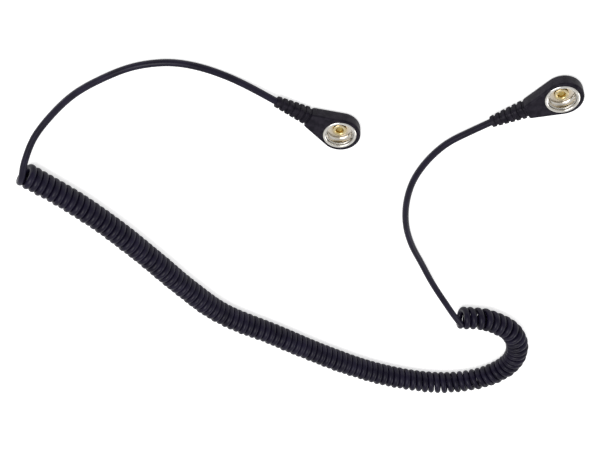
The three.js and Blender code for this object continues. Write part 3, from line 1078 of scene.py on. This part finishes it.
@dataclass(frozen=True)
class EndPlace:
    """Where one snap end lies: its socket axis and its turn about it."""

    end: End
    axis: Vector
    turn: float

    @staticmethod
    def of(end: End) -> EndPlace:
        """Reads the place of an end from its solids.

        Args:
            end: The end.

        Returns:
            Its place.
        """
        low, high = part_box(f"{end.value}_socket")
        axis = Vector(((low[0] + high[0]) / 2, (low[1] + high[1]) / 2, 0.0))
        return EndPlace(end, axis, math.radians(END_TURNS[end]))

    @property
    def matrix(self) -> Matrix:
        """The end's own frame in metres."""
        return Matrix.Translation(self.axis) @ Matrix.Rotation(self.turn, 4, "Z")

    def point(self, x: float, y: float, z: float) -> Vector:
        """A point of the end, given in millimetres in its own frame."""
        return self.matrix @ (Vector((x, y, z)) * MM)

    def tip(self, beyond: float) -> Vector:
        """The middle of the cord, some millimetres beyond the strain relief's tip."""
        shape = MouldedHousing(self)
        return self.point(-shape.neck_length - shape.relief_length - beyond, 0.0, shape.axis_height)

    def node(self, piece: str) -> str:
        """The name of one of the end's nodes."""
        return f"{self.end.value}_{piece}"


@dataclass
class MouldedHousing:
    """The teardrop moulding of one end and its ribbed strain relief."""

    place: EndPlace
    round_radius: float = 7.55
    socket_setback: float = 0.45
    face_height: float = 5.8
    neck_length: float = 13.95
    neck_width: float = 6.4
    back_rounding: float = 1.8
    face_rounding: float = 0.8
    corner_rounding: float = 0.5
    well_radius: float = 6.43
    well_chamfer: float = 0.1
    well_shelf: float = 3.5
    well_depth_radius: float = 5.65
    back_wall: float = 0.7
    relief_length: float = 13.8
    rib_count: int = 6
    groove_width: float = 0.75
    groove_depth: float = 0.5
    rib_rounding: float = 0.28
    relief_overlap: float = 1.5
    root_step: float = 0.1
    root_squareness: float = 4.0
    tip_radius: float = 2.15
    cord_hole: float = 1.37

    @property
    def axis_height(self) -> float:
        """Height of the cord's axis above the back."""
        return self.face_height / 2

    def outline(self, mesh: Mesh) -> list[Edge]:
        """Draws the teardrop outline on the back's plane.

        Args:
            mesh: The mesh to draw in.

        Returns:
            Its edges, a closed loop.
        """
        half = self.neck_width / 2
        neck_reach = self.neck_length + self.socket_setback
        spread = math.acos(self.round_radius / math.hypot(neck_reach, half))
        tangent = math.atan2(half, -neck_reach) - spread
        middle = Vector((self.socket_setback, 0.0, 0.0))
        away = Vector((math.cos(tangent), -math.sin(tangent), 0.0))
        start = mesh.verts.new(middle + away * self.round_radius)
        bmesh.ops.spin(
            mesh, geom=[start], cent=middle, axis=(0, 0, 1), dvec=(0, 0, 0),
            angle=2 * tangent, steps=56, use_merge=False, use_duplicate=False,
        )
        ends = [vert for vert in mesh.verts if len(vert.link_edges) == 1]
        lower, upper = sorted(ends, key=lambda vert: vert.co.y)
        corners = [mesh.verts.new((-self.neck_length, side * half, 0.0)) for side in (-1, 1)]
        mesh.edges.new((lower, corners[0]))
        mesh.edges.new((corners[0], corners[1]))
        mesh.edges.new((corners[1], upper))
        return list(mesh.edges)

    def body(self) -> Mesh:
        """Shapes the teardrop with its rounded back, softened face and the socket's well.

        Returns:
            The mesh.
        """
        mesh = bmesh.new()
        face = bmesh.ops.contextual_create(mesh, geom=self.outline(mesh))["faces"][0]
        raised = bmesh.ops.extrude_face_region(mesh, geom=[face])["geom"]
        top = [item for item in raised if isinstance(item, Vert)]
        bmesh.ops.translate(mesh, vec=(0, 0, self.face_height), verts=top)
        bmesh.ops.recalc_face_normals(mesh, faces=mesh.faces)
        for height, rounding in ((0.0, self.back_rounding), (self.face_height, self.face_rounding)):
            level = {vert for vert in mesh.verts if abs(vert.co.z - height) < 1e-3}
            rim = [edge for edge in mesh.edges if level.issuperset(edge.verts)]
            Workshop.round_edges(mesh, rim, rounding, 7)
        Workshop.round_edges(mesh, Workshop.sharp_edges(mesh, 40.0), self.corner_rounding, 3)
        self.sink_well(mesh)
        return mesh

    def sink_well(self, mesh: Mesh) -> None:
        """Opens the face over the socket and sinks its stepped well.

        Args:
            mesh: The closed teardrop.
        """
        face = max(mesh.faces, key=lambda item: item.calc_center_median().z * item.calc_area())
        border = list(face.edges)
        bmesh.ops.delete(mesh, geom=[face], context="FACES_ONLY")
        lip = bmesh.ops.create_circle(
            mesh, cap_ends=False, segments=72, radius=self.well_radius + self.well_chamfer,
            matrix=Matrix.Translation((0, 0, self.face_height)),
        )["verts"]
        mouth = list({edge for vert in lip for edge in vert.link_edges})
        bmesh.ops.triangle_fill(mesh, use_beauty=True, use_dissolve=False, edges=border + mouth)
        steps = (
            (self.well_radius, -self.well_chamfer),
            (self.well_radius, self.well_shelf - self.face_height + self.well_chamfer),
            (self.well_depth_radius, 0.0),
            (self.well_depth_radius, self.back_wall - self.well_shelf),
        )
        radius = self.well_radius + self.well_chamfer
        for new_radius, drop in steps:
            made = bmesh.ops.extrude_edge_only(mesh, edges=mouth)["geom"]
            verts = [item for item in made if isinstance(item, Vert)]
            mouth = [item for item in made if isinstance(item, Edge)]
            share = new_radius / radius
            bmesh.ops.scale(mesh, vec=(share, share, 1.0), verts=verts)
            bmesh.ops.translate(mesh, vec=(0, 0, drop), verts=verts)
            radius = new_radius
        bmesh.ops.contextual_create(mesh, geom=mouth)
        bmesh.ops.recalc_face_normals(mesh, faces=mesh.faces)

    def rib_profile(self) -> Profile:
        """Draws the strain relief's cross-section.

        Returns:
            Radius and station of each corner, from its root to its tip.
        """
        start = self.neck_length
        pitch = self.relief_length / self.rib_count
        turns = [math.radians(angle) for angle in range(0, 91, 18)]

        def outer(station: float) -> float:
            """Radius over the ribs at a station."""
            share = max(0.0, (station - start) / self.relief_length)
            return self.neck_width / 2 + (self.tip_radius - self.neck_width / 2) * share

        inside = start - self.relief_overlap
        profile = [(self.cord_hole, inside), (outer(start) - self.groove_depth, inside)]
        for rib in range(self.rib_count):
            rise = start + rib * pitch + self.groove_width
            fall = start + (rib + 1) * pitch
            profile.append((outer(rise) - self.groove_depth, rise))
            for edge, inwards, sweep in ((rise, 1, turns), (fall, -1, turns[::-1])):
                for turn in sweep:
                    station = edge + inwards * self.rib_rounding * (1.0 - math.cos(turn))
                    drop = self.rib_rounding * (1.0 - math.sin(turn))
                    profile.append((outer(station) - drop, station))
            if rib < self.rib_count - 1:
                profile.append((outer(fall) - self.groove_depth, fall))
        profile.append((self.cord_hole, start + self.relief_length))
        return profile

    def relief(self) -> Mesh:
        """Shapes the strain relief: a tapered sleeve with rounded ribs, squared and flattened at its root.

        Returns:
            The mesh.
        """
        mesh = Workshop.spin_along_cord(self.rib_profile(), self.axis_height, 64)
        root = (self.face_height - 2 * self.root_step) / self.neck_width
        for vert in mesh.verts:
            share = min(1.0, max(0.0, (-vert.co.x - self.neck_length) / self.relief_length))
            above = vert.co.z - self.axis_height
            if math.hypot(vert.co.y, above) < self.cord_hole + 0.05:
                continue
            power = self.root_squareness + (2.0 - self.root_squareness) * share
            angle = math.atan2(above, vert.co.y)
            reach = (abs(math.cos(angle)) ** power + abs(math.sin(angle)) ** power) ** (-1.0 / power)
            vert.co.y *= reach
            vert.co.z = self.axis_height + above * reach * (root + (1.0 - root) * share)
        return mesh

    def build(self, finish: Material) -> Piece:
        """Makes the housing and puts it in place.

        Args:
            finish: Its material.

        Returns:
            The piece.
        """
        mesh = self.body()
        relief = self.relief()
        sleeve = bpy.data.meshes.new("relief")
        relief.to_mesh(sleeve)
        relief.free()
        mesh.from_mesh(sleeve)
        bpy.data.meshes.remove(sleeve)
        name = self.place.node("moulded_housing")
        piece = Workshop.finish(mesh, name, self.place.matrix, finish, crease=32.0)
        Workshop.stand_for(piece, self.place.node("housing"), FIXED_BODY, "moulding")
        return piece


@dataclass
class SnapSocket:
    """The drawn socket with its rolled rim, the two spring legs and the eyelet."""

    place: EndPlace
    rim_radius: float = 6.4
    rim_top: float = 5.85
    lip_radius: float = 5.3
    lip_bottom: float = 5.4
    rim_tuck: float = 0.14
    wall_radius: float = 5.95
    sheet: float = 0.3
    ledge_top: float = 4.1
    pocket_radius: float = 5.05
    floor_top: float = 2.5
    floor_corner: float = 0.5
    rivet_hole: float = 2.0
    wire_radius: float = 0.35
    spring_radius: float = 5.15
    spring_height: float = 4.75
    nose_gap: float = 1.4
    root_gap: float = 0.15
    eyelet_hole: float = 1.2
    eyelet_depth: float = 1.15
    eyelet_head: float = 2.6
    eyelet_seat: float = 2.8
    eyelet_crown: float = 3.2
    eyelet_flare: float = 0.8
    shank_radius: float = 1.7
    clinch_radius: float = 2.3
    clinch_bottom: float = 1.0
    clinch_top: float = 1.3

    def rolled_rim(self) -> Profile:
        """Draws the cross-section of the rolled rim.

        Returns:
            Radius and height of each corner, from the outer wall round to the inner one.
        """
        middle = (self.rim_radius + self.lip_radius) / 2
        half_width = (self.rim_radius - self.lip_radius) / 2
        base = self.lip_bottom + self.rim_tuck
        arc = []
        for angle in map(math.radians, range(-20, 201, 20)):
            rise = self.rim_top - base if math.sin(angle) > 0.0 else self.rim_tuck
            arc.append((middle + half_width * math.cos(angle), base + rise * math.sin(angle)))
        return arc

    def cup(self, finish: Material) -> Piece:
        """Spins the drawn cup.

        Args:
            finish: Its material.

        Returns:
            The piece.
        """
        outer = self.pocket_radius + self.sheet
        profile = [
            (self.rivet_hole, self.floor_top - self.sheet),
            (outer - self.floor_corner, self.floor_top - self.sheet),
            (outer, self.floor_top - self.sheet + self.floor_corner),
            (outer, self.ledge_top - self.sheet),
            (self.wall_radius + self.sheet, self.ledge_top - self.sheet),
            (self.wall_radius + self.sheet, self.lip_bottom),
            *self.rolled_rim(),
            (self.wall_radius, self.lip_bottom),
            (self.wall_radius, self.ledge_top),
            (self.pocket_radius, self.ledge_top),
            (self.pocket_radius, self.floor_top + self.floor_corner),
            (self.pocket_radius - self.floor_corner, self.floor_top),
            (self.rivet_hole, self.floor_top),
        ]
        mesh = Workshop.spin_upright(profile, closed=True, steps=96)
        Workshop.round_edges(mesh, Workshop.sharp_edges(mesh, 35.0), 0.1, 3)
        name = self.place.node("drawn_socket")
        piece = Workshop.finish(mesh, name, self.place.matrix, finish, crease=40.0)
        Workshop.stand_for(piece, self.place.node("socket"), FIXED_BODY, "nickel")
        return piece

    def leg(self, side: Leg, finish: Material) -> Piece:
        """Bends one leg of the wire spring.

        Args:
            side: Which leg.
            finish: Its material.

        Returns:
            The piece.
        """
        mesh = bmesh.new()
        nose = self.nose_gap / 2 / self.spring_radius
        root = math.pi - self.root_gap / self.spring_radius
        out = Matrix.Translation((self.spring_radius, 0, self.spring_height))
        stand = out @ Matrix.Rotation(math.pi / 2, 4, "X")
        ring = bmesh.ops.create_circle(
            mesh, cap_ends=False, segments=16, radius=self.wire_radius,
            matrix=Matrix.Rotation(side.value * nose, 4, "Z") @ stand,
        )["verts"]
        edges = list({edge for vert in ring for edge in vert.link_edges})
        bmesh.ops.spin(
            mesh, geom=ring + edges, cent=(0, 0, 0), axis=(0, 0, 1), dvec=(0, 0, 0),
            angle=side.value * (root - nose), steps=56, use_merge=False, use_duplicate=False,
        )
        rims = [edge for edge in mesh.edges if len(edge.link_faces) == 1]
        bmesh.ops.holes_fill(mesh, edges=rims, sides=0)
        bmesh.ops.recalc_face_normals(mesh, faces=mesh.faces)
        Workshop.round_edges(mesh, Workshop.sharp_edges(mesh, 60.0), 0.12, 3)
        word = side.name.lower()
        piece = Workshop.finish(mesh, self.place.node(f"ring_spring_{word}"), self.place.matrix, finish)
        body = self.place.node(f"spring_leg_{word}")
        Workshop.stand_for(piece, self.place.node(f"spring_{word}"), body, "spring_wire")
        return piece

    def eyelet(self, finish: Material) -> Piece:
        """Spins the closed eyelet with its flared mouth and its clinched back.

        Args:
            finish: Its material.

        Returns:
            The piece.
        """
        floor = self.eyelet_crown - self.eyelet_depth
        flare = [
            (
                self.eyelet_hole + self.eyelet_flare * (1 - math.cos(math.radians(angle))),
                self.eyelet_crown - self.eyelet_flare * (1 - math.sin(math.radians(angle))),
            )
            for angle in range(90, -1, -10)
        ]
        profile = [
            (0.0, self.clinch_bottom),
            (self.clinch_radius, self.clinch_bottom),
            (self.clinch_radius, self.clinch_top),
            (self.shank_radius, self.clinch_top),
            (self.shank_radius, self.eyelet_seat),
            (self.eyelet_head, self.eyelet_seat),
            (self.eyelet_head, self.eyelet_crown - 0.15),
            (self.eyelet_head - 0.06, self.eyelet_crown - 0.05),
            (self.eyelet_head - 0.17, self.eyelet_crown),
            *flare,
            (self.eyelet_hole, floor + 0.2),
            (self.eyelet_hole - 0.08, floor + 0.06),
            (self.eyelet_hole - 0.25, floor),
            (0.0, floor + 0.05),
        ]
        mesh = Workshop.spin_upright(profile, closed=False, steps=64)
        Workshop.round_edges(mesh, Workshop.sharp_edges(mesh, 60.0), 0.06, 2)
        piece = Workshop.finish(mesh, self.place.node("flared_eyelet"), self.place.matrix, finish)
        Workshop.stand_for(piece, self.place.node("eyelet"), FIXED_BODY, "brass")
        return piece

    def build(self, wire: Material) -> None:
        """Makes the cup, the spring and the eyelet.

        Args:
            wire: The spring's material.
        """
        centre = tuple(self.place.axis)
        word = self.place.end.value
        self.cup(PlatedSheet(centre, f"nickel_plate_{word}").build())
        self.eyelet(TurnedBrass(centre, f"eyelet_brass_{word}").build())
        for side in Leg:
            self.leg(side, wire)


@dataclass(frozen=True)
class SharedFinishes:
    """Finishes that both ends use."""

    moulding: Material
    jacket: Material
    wire: Material
    tin: Material

    @staticmethod
    def make() -> SharedFinishes:
        """Makes each of them once.

        Returns:
            The finishes.
        """
        return SharedFinishes(
            moulding=MouldedPvc().build(),
            jacket=CordJacket(along_surface=False).build(),
            wire=SpringWire().build(),
            tin=TinPlate().build(),
        )


@dataclass
class SnapEnd:
    """One complete snap end."""

    place: EndPlace
    finishes: SharedFinishes

    def build(self) -> None:
        """Makes what shows and dresses what is hidden."""
        MouldedHousing(self.place).build(self.finishes.moulding)
        SnapSocket(self.place).build(self.finishes.wire)
        self.dress_wiring()

    def dress_wiring(self) -> None:
        """Finishes the solids inside the end."""
        centre = tuple(self.place.point(0.0, 0.0, 2.9))
        word = self.place.end.value
        Workshop.dress(self.place.node("terminal"), self.finishes.tin)
        Workshop.dress(self.place.node("jacket_end"), self.finishes.jacket)
        copper = StrandedCopper(self.place.turn, centre, f"stranded_copper_{word}").build()
        Workshop.dress(self.place.node("conductor"), copper)
        if self.place.end is End.WRIST:
            Workshop.dress(self.place.node("splice"), self.finishes.tin)
            Workshop.dress(self.place.node("resistor_sleeve"), ShrunkSleeve().build())
            Workshop.dress(self.place.node("resistor"), BandedLacquer(self.place.turn, centre).build())


# --------------------------------------------------------------------------- studio


@dataclass
class Studio:
    """The camera, the pale table and the soft lights."""

    target: Point = (-0.01405, -0.05662, 0.0)
    distance: float = 0.487
    elevation: float = 42.8
    roll: float = 1.6
    lens: float = 70.0
    ambient: float = 0.45
    mirrored: tuple[tuple[float, float], ...] = (
        (0.0, 0.85),
        (0.25, 0.6),
        (0.5, 0.55),
        (0.8, 0.6),
        (0.97, 0.25),
    )
    lamps: tuple[tuple[str, Point, float, float], ...] = (
        ("overhead_softbox", (-0.35, 0.25, 0.95), 0.7, 5.0),
        ("side_softbox", (0.8, -0.5, 0.55), 0.5, 1.6),
    )

    def set_camera(self) -> None:
        """Looks down at the cord from beyond its snap ends."""
        tilt, roll = math.radians(self.elevation), math.radians(self.roll)
        right = Vector((1.0, 0.0, 0.0))
        up = Vector((0.0, math.sin(tilt), -math.cos(tilt)))
        back = Vector((0.0, math.cos(tilt), math.sin(tilt)))
        across = right * math.cos(roll) + up * math.sin(roll)
        over = up * math.cos(roll) - right * math.sin(roll)
        place = Vector(self.target) + back * self.distance
        data = bpy.data.cameras.new("camera")
        data.lens = self.lens
        data.sensor_width = 36.0
        data.clip_start = 0.01
        camera = put_in_scene("camera", data)
        camera.matrix_world = Matrix.Translation(place) @ Matrix((across, over, back)).transposed().to_4x4()
        bpy.context.scene.camera = camera

    def lay_table(self) -> None:
        """Lays the pale table under the cord."""
        mesh = bmesh.new()
        bmesh.ops.create_grid(mesh, x_segments=2, y_segments=2, size=3.0)
        data = bpy.data.meshes.new("table")
        mesh.to_mesh(data)
        mesh.free()
        data.materials.append(PaleTable().build())
        put_in_scene("table", data)

    def hang_lamps(self) -> None:
        """Hangs the soft lamps, each aimed at the middle of the cord."""
        for name, place, size, power in self.lamps:
            data = bpy.data.lights.new(name, "AREA")
            data.shape = "DISK"
            data.size = size
            data.energy = power
            aim = (Vector(self.target) - Vector(place)).to_track_quat("-Z", "Y")
            put_in_scene(name, data).matrix_world = Matrix.Translation(place) @ aim.to_matrix().to_4x4()

    def set_surroundings(self) -> None:
        """Gives soft light from all round, seen as plain white.

        Smooth surfaces mirror it a little brighter on the far side than on the near side.
        """
        bench = NodeBench("surroundings", world=True)
        path = bench.add("LightPath").outputs
        split = bench.add("SeparateXYZ")
        bench.wire(bench.add("TexCoord").outputs["Generated"], split.inputs["Vector"])
        nearness = bench.span(split.outputs["Y"], 0.0, 1.0, from_low=-1.0, from_high=1.0)
        mirrored = bench.ramp(nearness, [(place, (strength,) * 3) for place, strength in self.mirrored])
        glossy = bench.add("Mix", data_type="FLOAT")
        glossy.inputs["A"].default_value = self.ambient
        bench.wire(path["Is Glossy Ray"], glossy.inputs["Factor"])
        bench.wire(mirrored, glossy.inputs["B"])
        seen = bench.math("MAXIMUM", path["Is Camera Ray"], glossy.outputs["Result"])
        bench.wire(seen, bench.shader.inputs["Strength"])
        bench.plain(Color=(1.0, 1.0, 1.0, 1.0))
        bpy.context.scene.world = bench.made

    def build(self) -> None:
        """Sets up everything but the camera."""
        self.lay_table()
        self.hang_lamps()
        self.set_surroundings()
        bpy.context.scene.view_settings.view_transform = "Standard"


# --------------------------------------------------------------------------- assembly


def main() -> None:
    """Builds the scene."""
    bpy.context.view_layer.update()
    studio = Studio()
    studio.set_camera()
    FreeCord().build()
    finishes = SharedFinishes.make()
    for end in End:
        SnapEnd(EndPlace.of(end), finishes).build()
    studio.build()


if __name__ == "__main__":
    main()
